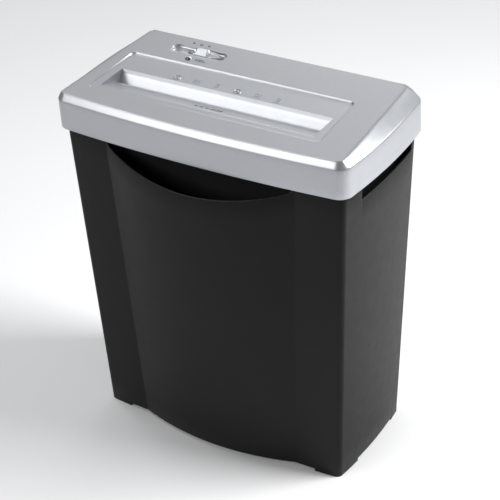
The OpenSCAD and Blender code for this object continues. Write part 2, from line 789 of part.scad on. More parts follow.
module motor_can() in_place() color(steel) difference() {
  union() {
    rod_x(motor_x0, motor_x1, motor_y, motor_z, motor_r, 96);
    rod_x(motor_x1, motor_x1 + plate_t + 0.4, motor_y, motor_z, 6);
  }
  rod_x(motor_x0 - 1, motor_x1 - 2, motor_y, motor_z, motor_r - 1.2, 96);
  rod_x(motor_x0, motor_x1 + 5, motor_y, motor_z, motor_shaft_r + run_gap);
  for (z = [-13, 13]) rod_x(motor_x1 - 3, motor_x1 + 1, motor_y, motor_z + z, 1.5, 24);
}

module motor_end_cap() in_place() color(black) difference() {
  union() {
    rod_x(motor_x0 - 2, motor_x0, motor_y, motor_z, motor_r, 96);
    rod_x(motor_x0 - 3.5, motor_x0 + 4, motor_y, motor_z, 5);
  }
  rod_x(motor_x0 - 5, motor_x0 + 5, motor_y, motor_z, motor_shaft_r + run_gap);
}

module motor_magnets() in_place() color([0.25, 0.24, 0.24]) {
  for (a = [-55, 125]) across_x(50, motor_y, motor_z) rotate(a)
    rotate_extrude(angle = 110, $fn = 96) translate([14.8, 0]) square([motor_r - 16, 38]);
}

module motor_screws() in_place() color(steel) {
  for (z = [-13, 13]) {
    rod_x(motor_x1 - 2, motor_x1 + plate_t, motor_y, motor_z + z, 1.5, 24);
    rod_x(motor_x1 + plate_t, motor_x1 + plate_t + 1.6, motor_y, motor_z + z, 2.8, 32);
  }
}

module motor_shaft() in_place() color(steel)
  rod_x(22, 132.5, motor_y, motor_z, motor_shaft_r);

module armature() in_place() color([0.45, 0.3, 0.2]) across_x(52, motor_y, motor_z) difference() {
  cylinder(h = 34, r = 13.9, $fn = 96);
  for (i = [0:6]) rotate(360 / 7 * i) {
    translate([11.5, -1, -1]) cube([6, 2, 36]);
    translate([8.8, 0, -1]) cylinder(h = 36, r = 2.6, $fn = 24);
  }
  translate([0, 0, -1]) cylinder(h = 36, r = motor_shaft_r, $fn = 48);
}

module commutator() in_place() color(brass) across_x(40, motor_y, motor_z) difference() {
  cylinder(h = 8, r = 6, $fn = 48);
  for (i = [0:6]) rotate(360 / 7 * i) translate([4.8, -0.3, -1]) cube([3, 0.6, 10]);
  translate([0, 0, -1]) cylinder(h = 10, r = motor_shaft_r, $fn = 48);
}

module motor_pinion() in_place() color(brass) across_x(first_x - 0.5, motor_y, motor_z)
  difference() {
    rotate(pinion_phase) linear_extrude(first_t + 1) polygon(wheel(high_mod, pinion_teeth));
    translate([0, 0, -1]) cylinder(h = first_t + 3, r = motor_shaft_r, $fn = 48);
  }

module motor_fan() in_place() color(nylon) across_x(23, motor_y, motor_z) difference() {
  union() {
    cylinder(h = 6, r = 5, $fn = 48);
    cylinder(h = 1.2, r = 17, $fn = 96);
    for (i = [0:8]) rotate(40 * i) translate([4, -0.6, 0]) cube([12.5, 1.2, 6]);
  }
  translate([0, 0, -1]) cylinder(h = 8, r = motor_shaft_r, $fn = 48);
}

// ---------------------------------------------------------------- interlock

module interlock_plunger() in_place() color(nylon) translate([lock_x, lock_y, 0]) {
  translate([0, 0, seam_z]) cylinder(h = 24, r = lock_r, $fn = 32);
  translate([0, 0, 337.2]) cylinder(h = 2, r = 4, $fn = 32);
}

module interlock_spring() in_place() color(steel) translate([lock_x, lock_y, 339.3]) {
  for (i = [0:4]) translate([0, 0, 0.45 + 2.95 * i])
    rotate_extrude($fn = 48) translate([3.2, 0]) circle(r = 0.4, $fn = 16);
  for (a = [0, 180]) rotate(a) translate([3, -0.3, 0.3]) cube([0.4, 0.6, 12.2]);
}

module interlock_switch() in_place() color(black) {
  translate([lock_x + 4.7, lock_y - 5, flange_z]) cube([6, 10, 20]);
  translate([lock_x + 4.7, lock_y - 1, 342]) cube([1.2, 2, 3]);
}

bin();
head_cover();
head_base();
printed_marks();
raised_marks();
mode_slider();
mode_switch();
power_led();
control_board();
board_screws();
capacitor();
relay();
terminal_block();
cord_gland();
cover_screws();
throat_guide_front();
throat_guide_back();
paper_sensors();
side_plate_left();
side_plate_right();
frame_screws();
tie_rods();
shaft_bushes();
comb_front();
comb_back();
front_shaft();
front_discs();
front_spacers();
front_link_gear();
back_shaft();
back_discs();
back_spacers();
back_link_gear();
drive_gear();
idler_axle();
idler_gear();
gear_plate();
gear_posts();
post_screws();
motor_can();
motor_end_cap();
motor_magnets();
motor_screws();
motor_shaft();
armature();
commutator();
motor_pinion();
motor_fan();
interlock_plunger();
interlock_spring();
interlock_switch();
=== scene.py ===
"""Visual model of a small paper shredder: a silver drive head on a black waste bin."""
import json
from math import atan2, cos, pi, radians, sin, sqrt, tan

import bmesh
import bpy
from mathutils import Matrix, Vector
from mathutils.geometry import tessellate_polygon


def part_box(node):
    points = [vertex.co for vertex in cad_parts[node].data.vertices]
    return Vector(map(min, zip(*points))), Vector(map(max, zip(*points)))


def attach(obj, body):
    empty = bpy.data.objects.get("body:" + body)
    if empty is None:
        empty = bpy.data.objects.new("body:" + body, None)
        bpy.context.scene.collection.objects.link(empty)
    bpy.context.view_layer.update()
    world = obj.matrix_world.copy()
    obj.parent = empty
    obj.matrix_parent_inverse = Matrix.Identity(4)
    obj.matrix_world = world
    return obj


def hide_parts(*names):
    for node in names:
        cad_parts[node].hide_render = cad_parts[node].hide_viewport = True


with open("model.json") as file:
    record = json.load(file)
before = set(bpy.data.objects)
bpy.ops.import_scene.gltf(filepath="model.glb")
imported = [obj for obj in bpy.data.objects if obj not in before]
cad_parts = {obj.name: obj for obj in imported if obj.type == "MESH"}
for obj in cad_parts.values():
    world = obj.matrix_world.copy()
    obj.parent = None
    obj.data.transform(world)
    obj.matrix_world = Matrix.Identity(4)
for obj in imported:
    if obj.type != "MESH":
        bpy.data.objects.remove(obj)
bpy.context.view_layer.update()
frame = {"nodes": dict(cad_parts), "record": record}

# Lengths below are millimetres from the middle of the head's plan, at floor level.
MM = 0.001
HALF_W, HALF_D = 155, 72
SHIFT_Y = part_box("head_cover")[1].y / MM - HALF_D
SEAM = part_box("bin")[1].z / MM

# Head: the bows of its front and ends, its sloped top and its bevels.
END_BOW, FRONT_BOW = 4.4, 6.7
FRONT_R = (HALF_W ** 2 + FRONT_BOW ** 2) / (2 * FRONT_BOW)
FRONT_CY = FRONT_R - HALF_D - FRONT_BOW
END_R = (HALF_D ** 2 + END_BOW ** 2) / (2 * END_BOW)
END_CX = HALF_W + END_BOW - END_R
CORNER_FRONT, CORNER_BACK = 13, 4
TOP_Z, HINGE_Y, TOP_SLOPE = 355.4, -69, tan(radians(2.9))
FLAT_HALF, END_SLOPE, END_EDGE_Z = 150.8, tan(radians(37.2)), 351.1
BEVEL_Z, BEVEL_RISE = 348.6, 1 / tan(radians(28.7))
COVER_WALL, SKIN, RIM_ROUND = 3.2, 5.2, 0.7
PANEL_FRONT, PANEL_BACK, PANEL_LEFT, PANEL_RIGHT = -48.6, 25.6, -133, 117
PANEL_R, PANEL_SLANT = 6, tan(radians(3.4))
TROUGH_X0, TROUGH_X1, TROUGH_FRONT, TROUGH_BACK = -123.5, 107, -41.5, -5.0
RAMP_Y, LIP_Y, LIP_Z, LIP_DIP = -40.5, -17, 349.2, 0.9
WALL_LOW, SLOT_LOW = 344.8, 340.5
WELL_X0, WELL_X1, WELL_Y, WELL_R, WELL_DEPTH = -103, -41, 48.8, 8.3, 3
SLIDER_X, SLIDER_Y = -64, 49.6
LED_X, LED_Y, LED_R = -74, 34.8, 3.2
GLAND_X, GLAND_Z, GLAND_R = -105, 330, 4.8
VENTS, VENT_X, VENT_STEP, VENT_W, VENT_Z0, VENT_Z1, VENT_R = 8, 40, 9, 3, 328, 344, 1.45


def lerp(a, b, t):
    return a + (b - a) * t


def clamp(t):
    return max(0.0, min(1.0, t))


def smooth(t):
    t = clamp(t)
    return t * t * (3 - 2 * t)


def spread(a, b, n):
    return [lerp(a, b, i / n) for i in range(n + 1)]


def soft_min(a, b, k):
    """The smaller of two heights, with the corner where they cross rounded over k."""
    h = max(k - abs(a - b), 0) / k
    return min(a, b) - h * h * k / 4


def circle(cx, cy, r, n):
    return [(cx + r * cos(a), cy + r * sin(a)) for a in spread(0, 2 * pi, n)[:-1]]


def top_at(y):
    return TOP_Z + (y - HINGE_Y) * TOP_SLOPE


def panel_at(y):
    return top_at(y) - lerp(0.4, 1.9, (y - PANEL_FRONT) / (PANEL_BACK - PANEL_FRONT))


def ramp_at(y):
    """Height of the inlet's ramp, which curves down a little more before the slot."""
    straight = lerp(LIP_Z, top_at(RAMP_Y) - 0.6, (LIP_Y - y) / (LIP_Y - RAMP_Y))
    return straight - LIP_DIP * smooth((y + 28) / 10)


# ------------------------------------------------------------------ meshes

class Shape:
    """Collects points and faces in millimetres."""

    def __init__(self):
        self.points, self.faces = [], []

    def add(self, points):
        first = len(self.points)
        self.points += [tuple(p) for p in points]
        return list(range(first, len(self.points)))

    def face(self, ids):
        self.faces.append(tuple(ids))

    def bridge(self, a, b, closed=True):
        for i in range(len(a) if closed else len(a) - 1):
            j = (i + 1) % len(a)
            self.face((a[i], a[j], b[j], b[i]))

    def loft(self, rings, closed=True):
        for a, b in zip(rings, rings[1:]):
            self.bridge(a, b, closed)

    def fill(self, outer, holes=(), drop_axis=2):
        """Fills a flat region with holes; drop_axis is the axis it is looked at along."""
        keep = [i for i in range(3) if i != drop_axis]
        loops = [outer, *holes]
        flat = [[Vector((self.points[i][keep[0]], self.points[i][keep[1]], 0)) for i in loop]
                for loop in loops]
        ids = [i for loop in loops for i in loop]
        for tri in tessellate_polygon(flat):
            self.face([ids[i] for i in tri])

    def box(self, x0, y0, z0, x1, y1, z1, edge):
        """A box with chamfered edges."""
        rings = []
        for inset, z in ((edge, z0), (0, z0 + edge), (0, z1 - edge), (edge, z1)):
            a, b, c, d = x0 + inset, y0 + inset, x1 - inset, y1 - inset
            e = edge if inset == 0 else 0
            rings.append(self.add([(a + e, b, z), (c - e, b, z), (c, b + e, z), (c, d - e, z),
                                   (c - e, d, z), (a + e, d, z), (a, d - e, z), (a, b + e, z)]))
        self.loft(rings)
        self.face(rings[0][::-1])
        self.face(rings[-1])

    def build(self, name, body, slot, replaced, sharp):
        """Makes the piece, which replaces the CAD nodes named and bends smoothly below sharp."""
        mesh = bpy.data.meshes.new(name)
        mesh.from_pydata([(x * MM, (y + SHIFT_Y) * MM, z * MM) for x, y, z in self.points],
                         [], self.faces)
        work = bmesh.new()
        work.from_mesh(mesh)
        bmesh.ops.remove_doubles(work, verts=work.verts, dist=2e-6)
        bmesh.ops.dissolve_degenerate(work, edges=work.edges, dist=1e-6)
        bmesh.ops.recalc_face_normals(work, faces=work.faces)
        work.to_mesh(mesh)
        work.free()
        mesh.shade_smooth()
        mesh.set_sharp_from_angle(angle=radians(sharp))
        obj = bpy.data.objects.new(name, mesh)
        bpy.context.scene.collection.objects.link(obj)
        mesh.materials.append(MATERIALS[slot])
        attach(obj, body)
        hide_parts(*replaced)


# --------------------------------------------------------------- materials

class Nodes:
    """A material's node tree, with the steps that the materials share."""

    def __init__(self, name, color, metallic, roughness, specular=0.5, **extra):
        self.material = bpy.data.materials.new(name)
        self.material.use_nodes = True
        self.tree = self.material.node_tree
        self.shader = self.tree.nodes["Principled BSDF"]
        self.shader.inputs["Base Color"].default_value = (*color, 1)
        self.shader.inputs["Metallic"].default_value = metallic
        self.shader.inputs["Roughness"].default_value = roughness
        self.shader.inputs["Specular IOR Level"].default_value = specular
        for key, value in extra.items():
            self.shader.inputs[key.replace("_", " ")].default_value = value
        self.coord = self.node("ShaderNodeTexCoord").outputs["Object"]

    def node(self, kind, links=(), **settings):
        made = self.tree.nodes.new(kind)
        for key, value in settings.items():
            setattr(made, key, value)
        for socket, source in dict(links).items():
            if hasattr(source, "is_linked"):
                self.tree.links.new(source, made.inputs[socket])
            else:
                made.inputs[socket].default_value = source
        return made

    def noise(self, size, detail, stretch=(1, 1, 1)):
        """Noise whose features are about size millimetres wide."""
        mapped = self.node("ShaderNodeMapping", {"Vector": self.coord, "Scale": stretch})
        return self.node("ShaderNodeTexNoise", {
            "Vector": mapped.outputs[0], "Scale": 1000 / size, "Detail": detail}).outputs["Fac"]

    def ramp(self, source, stops):
        made = self.node("ShaderNodeValToRGB", {"Fac": source})
        points = made.color_ramp.elements
        while len(points) < len(stops):
            points.new(0.5)
        for point, (place, value) in zip(points, stops):
            point.position = place
            point.color = (*value, 1) if isinstance(value, tuple) else (value, value, value, 1)
        return made.outputs["Color"]

    def remap(self, source, low, high, to_low, to_high):
        return self.node("ShaderNodeMapRange", {
            "Value": source, "From Min": low, "From Max": high,
            "To Min": to_low, "To Max": to_high}).outputs["Result"]

    def mix(self, fac, a, b):
        made = self.node("ShaderNodeMix", data_type="RGBA")
        for socket, source in ((0, fac), (6, a), (7, b)):
            if hasattr(source, "is_linked"):
                self.tree.links.new(source, made.inputs[socket])
            else:
                made.inputs[socket].default_value = source
        return made.outputs[2]

    def math(self, operation, a, b):
        return self.node("ShaderNodeMath", {0: a, 1: b}, operation=operation).outputs[0]

    def edges(self, radius):
        """1 along edges within radius millimetres, 0 elsewhere."""
        bevel = self.node("ShaderNodeBevel", {"Radius": radius * MM}, samples=4)
        normal = self.node("ShaderNodeNewGeometry").outputs["Normal"]
        dot = self.node("ShaderNodeVectorMath", {0: bevel.outputs[0], 1: normal},
                        operation="DOT_PRODUCT").outputs["Value"]
        return self.remap(dot, 0.99, 0.88, 0, 1)

    def bump(self, height, distance):
        """The normal of a relief distance millimetres deep."""
        return self.node("ShaderNodeBump", {
            "Height": height, "Distance": distance * MM, "Strength": 1.0}).outputs["Normal"]

    def set(self, socket, source):
        self.tree.links.new(source, self.shader.inputs[socket])


def plastic(name, color, grain, depth, roughness, specular, edge_wear_and_highlight, edge=0.5):
    """Moulded plastic with a fine grain, faint mottling and edges painted lighter: rubbed wear, and
    where the lighter colour is strong, a painted highlight.
    """
    mottle = 0.12
    n = Nodes(name, color, 0, roughness, specular)
    fine, broad = n.noise(grain, 3), n.noise(38, 2)
    base = n.mix(n.remap(broad, 0.3, 0.7, 0, 1),
                 (*[c * (1 - mottle) for c in color], 1), (*[c * (1 + mottle) for c in color], 1))
    # Edges painted lighter: wear, and a painted highlight where the lighter colour is far above the
    # base.
    rub = n.math("MULTIPLY", n.edges(edge), n.remap(n.noise(6, 4), 0.35, 0.7, 0.1, 0.8))
    n.set("Base Color", n.mix(rub, base, (*edge_wear_and_highlight, 1)))
    n.set("Roughness", n.remap(n.noise(11, 5), 0.3, 0.7, roughness - 0.02, roughness + 0.025))
    n.set("Normal", n.bump(fine, depth))
    return n.material


def silver_paint():
    """Satin plastic filled with fine metal flake."""
    color = (0.43, 0.444, 0.468)
    flake_size = 0.35
    n = Nodes("silver_plastic", color, 0.84, 0.36, 0.5)
    flake = n.node("ShaderNodeTexVoronoi", {"Vector": n.coord, "Scale": 1000 / flake_size})
    spark = n.node("ShaderNodeSeparateColor", {"Color": flake.outputs["Color"]}).outputs[0]
    base = n.mix(n.remap(n.noise(55, 2), 0.3, 0.7, 0, 1),
                 (*[c * 0.985 for c in color], 1), (*[c * 1.01 for c in color], 1))
    base = n.mix(n.remap(spark, 0, 1, 0, 0.22), base, (0.62, 0.63, 0.65, 1))
    rub = n.math("MULTIPLY", n.edges(0.4), n.remap(n.noise(5, 4), 0.4, 0.7, 0.0, 0.2))
    n.set("Base Color", n.mix(rub, base, (0.7, 0.7, 0.71, 1)))
    n.set("Roughness", n.remap(n.noise(9, 5), 0.3, 0.7, 0.345, 0.375))
    n.set("Normal", n.bump(n.noise(0.5, 2), 0.006))
    return n.material


def metal(name, color, roughness, brush, stain):
    """Drawn or turned metal with fine tool lines and faint stains."""
    n = Nodes(name, color, 1.0, roughness)
    lines = n.noise(0.6, 4, brush)
    base = n.mix(n.remap(n.noise(7, 5), 0.5, 0.8, 0, 0.5), (*color, 1),
                 (*[c * s for c, s in zip(color, stain)], 1))
    base = n.mix(n.math("MULTIPLY", n.edges(0.25), 0.6), base,
                 (*[min(1, c * 1.25) for c in color], 1))
    n.set("Base Color", base)
    n.set("Roughness", n.remap(lines, 0.3, 0.7, roughness - 0.07, roughness + 0.12))
    n.set("Normal", n.bump(lines, 0.01))
    return n.material


def circuit_board():
    n = Nodes("circuit_board", (0.02, 0.1, 0.045), 0, 0.35, 0.5, Coat_Weight=0.4)
    tracks = n.node("ShaderNodeTexBrick", {
        "Vector": n.coord, "Scale": 140.0, "Mortar Size": 0.06, "Color1": (0.02, 0.1, 0.045, 1),
        "Color2": (0.016, 0.08, 0.04, 1), "Mortar": (0.05, 0.2, 0.09, 1)})
    n.set("Base Color", tracks.outputs["Color"])
    n.set("Roughness", n.remap(n.noise(3, 3), 0.3, 0.7, 0.3, 0.45))
    n.set("Normal", n.bump(tracks.outputs["Fac"], 0.03))
    return n.material


def winding():
    """Enamelled copper wire wound in fine turns, each painted light along its middle and dark
    between turns as painted shade.
    """
    n = Nodes("winding", (0.5, 0.2, 0.08), 0.8, 0.35)
    turns = n.node("ShaderNodeTexWave", {"Vector": n.coord, "Scale": 700.0, "Distortion": 1.5},
                   bands_direction="Y").outputs["Fac"]
    # Light along each turn and dark between turns: painted shade in the grooves between the wires.
    n.set("Base Color", n.ramp(turns, [(0, (0.16, 0.05, 0.02)), (1, (0.55, 0.22, 0.09))]))
    n.set("Roughness", n.remap(n.noise(2, 3), 0.3, 0.7, 0.28, 0.45))
    n.set("Normal", n.bump(turns, 0.12))
    return n.material


def led_lens():
    """Clear epoxy, its back half painted pale and its front half dark: a painted reflection on the
    lens.
    """
    n = Nodes("led_lens", (0.8, 0.85, 0.8), 0, 0.08, 0.6, Coat_Weight=1.0)
    side = n.node("ShaderNodeSeparateXYZ", {"Vector": n.coord}).outputs["Y"]
    middle = (LED_Y + SHIFT_Y) * MM
    # The back half is painted pale and the front half near black: a painted reflection standing in
    # for light on the dome.
    painted_reflection_half = n.remap(side, middle - 0.0009, middle + 0.0006, 0, 1)
    speck = n.remap(n.noise(0.8, 3), 0.3, 0.7, -0.12, 0.12)
    n.set("Base Color", n.ramp(n.math("ADD", painted_reflection_half, speck), [(0.25, (0.01, 0.013, 0.011)),
                                                           (0.75, (0.78, 0.82, 0.8))]))
    n.set("Roughness", n.remap(n.noise(2, 3), 0.3, 0.7, 0.06, 0.14))
    n.set("Normal", n.bump(n.noise(1.5, 2), 0.01))
    return n.material


MATERIALS = {
    # The bin's edges are painted far lighter than its black: some wear, and mostly a painted
    # highlight along its rims.
    "bin_black": plastic("bin_black", (0.004, 0.004, 0.0042), 0.55, 0.03, 0.42, 0.18,
                         (0.2, 0.2, 0.203), edge=0.8),
    "silver_plastic": silver_paint(),
    "black_plastic": plastic("black_plastic", (0.012, 0.012, 0.013), 0.8, 0.03, 0.45, 0.4,
                             (0.05, 0.05, 0.05)),
    "print": plastic("print", (0.075, 0.075, 0.08), 0.5, 0.01, 0.6, 0.3, (0.16, 0.16, 0.16)),
    "led_lens": led_lens(),
    "circuit_board": circuit_board(),
    "capacitor_sleeve": plastic("capacitor_sleeve", (0.02, 0.025, 0.12), 2, 0.02, 0.3, 0.5,
                                (0.1, 0.12, 0.3)),
    "relay_blue": plastic("relay_blue", (0.015, 0.07, 0.25), 1, 0.02, 0.35, 0.5, (0.1, 0.2, 0.4)),
    "nylon": plastic("nylon", (0.72, 0.7, 0.62), 0.9, 0.03, 0.42, 0.5, (0.85, 0.84, 0.78)),
    "soft_rubber": plastic("soft_rubber", (0.014, 0.014, 0.014), 0.7, 0.05, 0.7, 0.25,
                           (0.04, 0.04, 0.04)),
    "steel": metal("steel", (0.6, 0.61, 0.62), 0.32, (1, 6, 6), (0.55, 0.52, 0.45)),
    "hard_steel": metal("hard_steel", (0.38, 0.38, 0.4), 0.28, (8, 1, 1), (0.5, 0.45, 0.4)),
    "bronze": metal("bronze", (0.6, 0.42, 0.2), 0.35, (1, 5, 5), (0.6, 0.5, 0.35)),
    "ferrite": plastic("ferrite", (0.035, 0.033, 0.035), 0.7, 0.05, 0.55, 0.5, (0.08, 0.08, 0.08)),
    "winding": winding(),
}


# --------------------------------------------------------------- waste bin

# Plan of the bin. Two numbers in brackets hold at its foot and at its rim.
BIN_HALF_W, BIN_BACK_Y, CREASE_X, BULGE = (137, 150.5), (56, 71.5), (88, 103), (14.5, 26)
BIN_FRONT_Y, CREASE_Y, SIDE_BOW, BACK_BOW = -66, -68.5, 3.4, 0.4
BIN_WALL, BIN_CORNER, FLOOR_UNDER, FLOOR_TOP = 2.2, 6, 3.6, 5.2
# The feet and the pads inside them, the gaps at the sides and the crescent in front.
FOOT_H, FOOT_X, FOOT_Y0, FOOT_Y1 = 3, 110, -34.5, 37
PAD_X, PAD_Y0, PAD_Y1 = 122, -48, 44
GAP_LOW, GAP_Y0, GAP_Y1 = 302.5, -37.5, 61
CRESCENT_R, CRESCENT_LOW, CRESCENT_HALF = 329, 297, 101
# The nub under the bulge, and the rib that lifts the interlock plunger.
NUB_X, NUB_Y = -4, -76
RIB_X0, RIB_Y0, RIB_Z0, RIB_X1, RIB_Y1 = -19, 56, 301, -11, 69.8
# Where the feet and the gaps begin and end, as parts of a flat, a side and half the back,
# and how long those are.
FOOT_ON_FLAT, FOOT_ON_BACK = 0.488, 0.84
FOOT_ON_SIDE, GAP_ON_SIDE = (0.2318, 0.8818), (0.1805, 0.9707)
FLAT_LENGTH, SIDE_LENGTH, BACK_LENGTH = 43, 120, 131
# Millimetres from a step in an edge to the columns of points that shape it.
STEP = [-1.2, -0.8, -0.4, -0.15, 0.0, 0.15, 0.5, 1.0, 1.6, 2.3, 3.2]


def with_steps(values, places, scale):
    """Adds a cluster of values round each place, and keeps the others clear of it."""
    far = [v for v in values if all(abs(v - p) > 3.5 * scale for p, _ in places)]
    near = [p + side * s * scale for p, side in places for s in STEP]
    return sorted(far + near)


def bin_columns():
    """Where the columns of points stand along each part of the plan, as parts of its length."""
    flat_steps = [(FOOT_ON_FLAT, 1)]
    side_steps = [(GAP_ON_SIDE[0], 1), (FOOT_ON_SIDE[0], 1),
                  (FOOT_ON_SIDE[1], -1), (GAP_ON_SIDE[1], -1)]
    back_steps = [(FOOT_ON_BACK, -1), (-FOOT_ON_BACK, 1)]
    return (with_steps(spread(0, 0.95, 9)[1:] + [0.975, 1.0], flat_steps, 1 / FLAT_LENGTH),
            [-0.99, *spread(-0.98, 0.98, 52), 0.99],
            with_steps(spread(0, 1, 36)[1:-1], side_steps, 1 / SIDE_LENGTH),
            with_steps(spread(-1, 1, 34)[1:-1], back_steps, 1 / BACK_LENGTH))


FLAT_AT, BULGE_AT, SIDE_AT, BACK_AT = bin_columns()


def bin_ring(t, inset):
    """Points round the bin, t of the way from its foot to its rim."""
    half = lerp(*BIN_HALF_W, t) - inset
    front, back = BIN_FRONT_Y + inset, lerp(*BIN_BACK_Y, t) - inset
    r = max(BIN_CORNER - inset, 1)
    crease, bulge = lerp(*CREASE_X, t), lerp(*BULGE, t)
    crease_y = CREASE_Y + inset

    def corner(cx, cy, start):
        return [(cx + r * cos(radians(start + a)), cy + r * sin(radians(start + a)))
                for a in spread(0, 90, 8)]

    def flat(u, sign):
        return sign * lerp(half - r, crease, u), lerp(front, crease_y, 1 - (1 - u) ** 2)

    def side(u, sign):
        return sign * (half + SIDE_BOW * (1 - (2 * u - 1) ** 2)), lerp(front + r, back - r, u)

    return [
        *corner(r - half, front + r, 180),
        *[flat(u, -1) for u in FLAT_AT],
        *[(s * crease, crease_y - bulge * (1 - s * s)) for s in BULGE_AT],
        *[flat(u, 1) for u in reversed(FLAT_AT)],
        *corner(half - r, front + r, 270),
        *[side(u, 1) for u in SIDE_AT],
        *corner(half - r, back - r, 0),
        *[(s * (half - r), back + BACK_BOW * (1 - s * s)) for s in reversed(BACK_AT)],
        *corner(r - half, back - r, 90),
        *[side(u, -1) for u in reversed(SIDE_AT)],
    ]


def notch(d, low, high, r):
    """Height of an edge that drops from high to low where d passes 0, with rounded corners."""
    if d <= 0:
        return high - (r - sqrt(r * r - (r + max(d, -r)) ** 2)) * 0.6
    return low + r - sqrt(r * r - (r - min(d, r)) ** 2)


def rim_height(x, y):
    """Height of the bin's upper edge, with the crescent in front and a gap at each side."""
    if y < -60 and abs(x) < CRESCENT_HALF + 6:
        arc = CRESCENT_LOW + CRESCENT_R - sqrt(CRESCENT_R ** 2 - min(abs(x), 104) ** 2)
        return soft_min(lerp(arc, SEAM, smooth((abs(x) - CRESCENT_HALF + 3) / 7)), SEAM, 1)
    if abs(x) > 120:
        return notch(min(y - GAP_Y0, GAP_Y1 - y), GAP_LOW, SEAM, 2)
    return SEAM


def foot_height(x, y):
    """Height of the skirt's lower edge, which is raised between the corner feet."""
    if abs(x) > FOOT_X + 2:
        inside = min(y - FOOT_Y0, FOOT_Y1 - y)
    elif abs(y) > 40:
        inside = FOOT_X - abs(x)
    else:
        return FOOT_H
    return FOOT_H * clamp(inside / 0.4 + 0.5)


def bin_section(foot, rim):
    """The wall's section as (inset, height): round the foot, up, over the rim and down."""
    section = [(BIN_WALL, FLOOR_UNDER), (BIN_WALL, foot + 0.4), (1.9, foot), (0.5, foot),
               (0.15, foot + 0.15), (0, foot + 0.5)]
    section += [(0, z) for z in spread(foot + 0.5, rim - 0.6, 14)[1:]]
    section += [(0.12, rim - 0.3), (0.4, rim - 0.1), (0.8, rim), (1.4, rim), (1.8, rim - 0.1),
                (2.08, rim - 0.3)]
    section += [(BIN_WALL, z) for z in spread(rim - 0.6, FLOOR_TOP + 3, 14)]
    return section + [(2.6, FLOOR_TOP + 1.3), (3.5, FLOOR_TOP + 0.4), (5.2, FLOOR_TOP)]


def add_foot_pads(shape, inner):
    """Fills each corner foot with a solid pad, inside the ring of points given."""
    for side in (-1, 1):
        for end, edge_y, middle_y in ((-1, FOOT_Y0 - 0.2, PAD_Y0), (1, FOOT_Y1 + 0.2, PAD_Y1)):
            middle = side * PAD_X, middle_y
            ring = [p for p in inner if side * p[0] > FOOT_X + 0.2 and end * (p[1] - edge_y) > 0]
            ring.append((side * (FOOT_X + 0.3), edge_y + end * 0.1, 0))
            ring.sort(key=lambda p: atan2(p[1] - middle[1], p[0] - middle[0]))
            low = shape.add([(lerp(x, middle[0], 0.02), lerp(y, middle[1], 0.02), 0)
                             for x, y, _ in ring])
            mid = shape.add([(x, y, 0.35) for x, y, _ in ring])
            high = shape.add([(x, y, FLOOR_UNDER + 0.2) for x, y, _ in ring])
            shape.loft([low, mid, high])
            shape.fill(low)
            shape.fill(high)


def make_bin():
    rings = {}

    def at(k, z, inset):
        if inset not in rings:
            rings[inset] = bin_ring(0, inset), bin_ring(1, inset)
        low, high = rings[inset]
        t = z / SEAM
        return lerp(low[k][0], high[k][0], t), lerp(low[k][1], high[k][1], t), z

    shape = Shape()
    columns = []
    for k in range(len(bin_ring(0, 0))):
        foot = foot_height(*at(k, 0, 0)[:2])
        rim = SEAM
        for _ in range(3):
            rim = rim_height(*at(k, rim, 0)[:2])
        columns.append(shape.add([at(k, z, inset) for inset, z in bin_section(foot, rim)]))
    for a, b in zip(columns, columns[1:] + columns[:1]):
        shape.bridge(a, b, closed=False)
    shape.fill([c[0] for c in columns])
    shape.fill([c[-1] for c in columns])
    add_foot_pads(shape, [at(k, 0, BIN_WALL + 0.1) for k in range(len(columns))])

    nub = [shape.add([(x, y, z) for x, y in circle(NUB_X, NUB_Y, r, 24)])
           for r, z in ((1.4, 0.6), (2.1, 0.8), (2.5, 1.4), (2.5, FLOOR_UNDER + 0.3))]
    shape.loft(nub)
    shape.face(nub[0][::-1])
    shape.face(nub[-1])
    shape.box(RIB_X0, RIB_Y0, RIB_Z0, RIB_X1, RIB_Y1, SEAM, 0.6)
    shape.build("waste_bin", "bin_body", "bin_black", ["bin"], 50)


# -------------------------------------------------------------- head cover

def corner_centre(r, end_r, front_r):
    """Centre of a circle of radius r that touches the bowed end and the bowed front."""
    y = r - HALF_D
    for _ in range(12):
        x = END_CX + sqrt((end_r - r) ** 2 - y * y)
        y = FRONT_CY - sqrt((front_r - r) ** 2 - x * x)
    return x, y


def rim_distance(x, y):
    """Distance in from the bowed front, a front corner or an end, whichever is nearest."""
    across, along = abs(x) - CORNER_X, y - CORNER_Y
    if CORNER_A0 < atan2(along, across) < CORNER_A1:
        return CORNER_FRONT - sqrt(across ** 2 + along ** 2)
    return min(FRONT_R - sqrt(x * x + (y - FRONT_CY) ** 2),
               END_R - sqrt((abs(x) - END_CX) ** 2 + y * y))


def head_ring(d_end, d_front, d_back):
    """Points round the head's plan, set in by the distances given."""
    r, back_r = max(CORNER_FRONT - d_end, 1.2), max(CORNER_BACK - d_end, 1)
    end_r, front_r, back_y = END_R - d_end, FRONT_R - d_front, HALF_D - d_back
    x, y = corner_centre(r, end_r, front_r)
    by = back_y - back_r
    bx = END_CX + sqrt((end_r - back_r) ** 2 - by ** 2)
    front_a, end_a = atan2(y - FRONT_CY, x), atan2(y, x - END_CX)
    back_a = atan2(by, bx - END_CX)
    half = [(front_r * cos(a), FRONT_CY + front_r * sin(a)) for a in spread(-pi / 2, front_a, 30)]
    half += [(x + r * cos(a), y + r * sin(a)) for a in spread(front_a, end_a, 16)[1:]]
    half += [(END_CX + end_r * cos(a), end_r * sin(a)) for a in spread(end_a, back_a, 24)[1:]]
    half += [(bx + back_r * cos(a), by + back_r * sin(a)) for a in spread(back_a, pi / 2, 9)[1:]]
    half += [(px, back_y) for px in spread(bx, 0, 24)[1:]]
    return half + [(-px, py) for px, py in reversed(half[1:-1])]


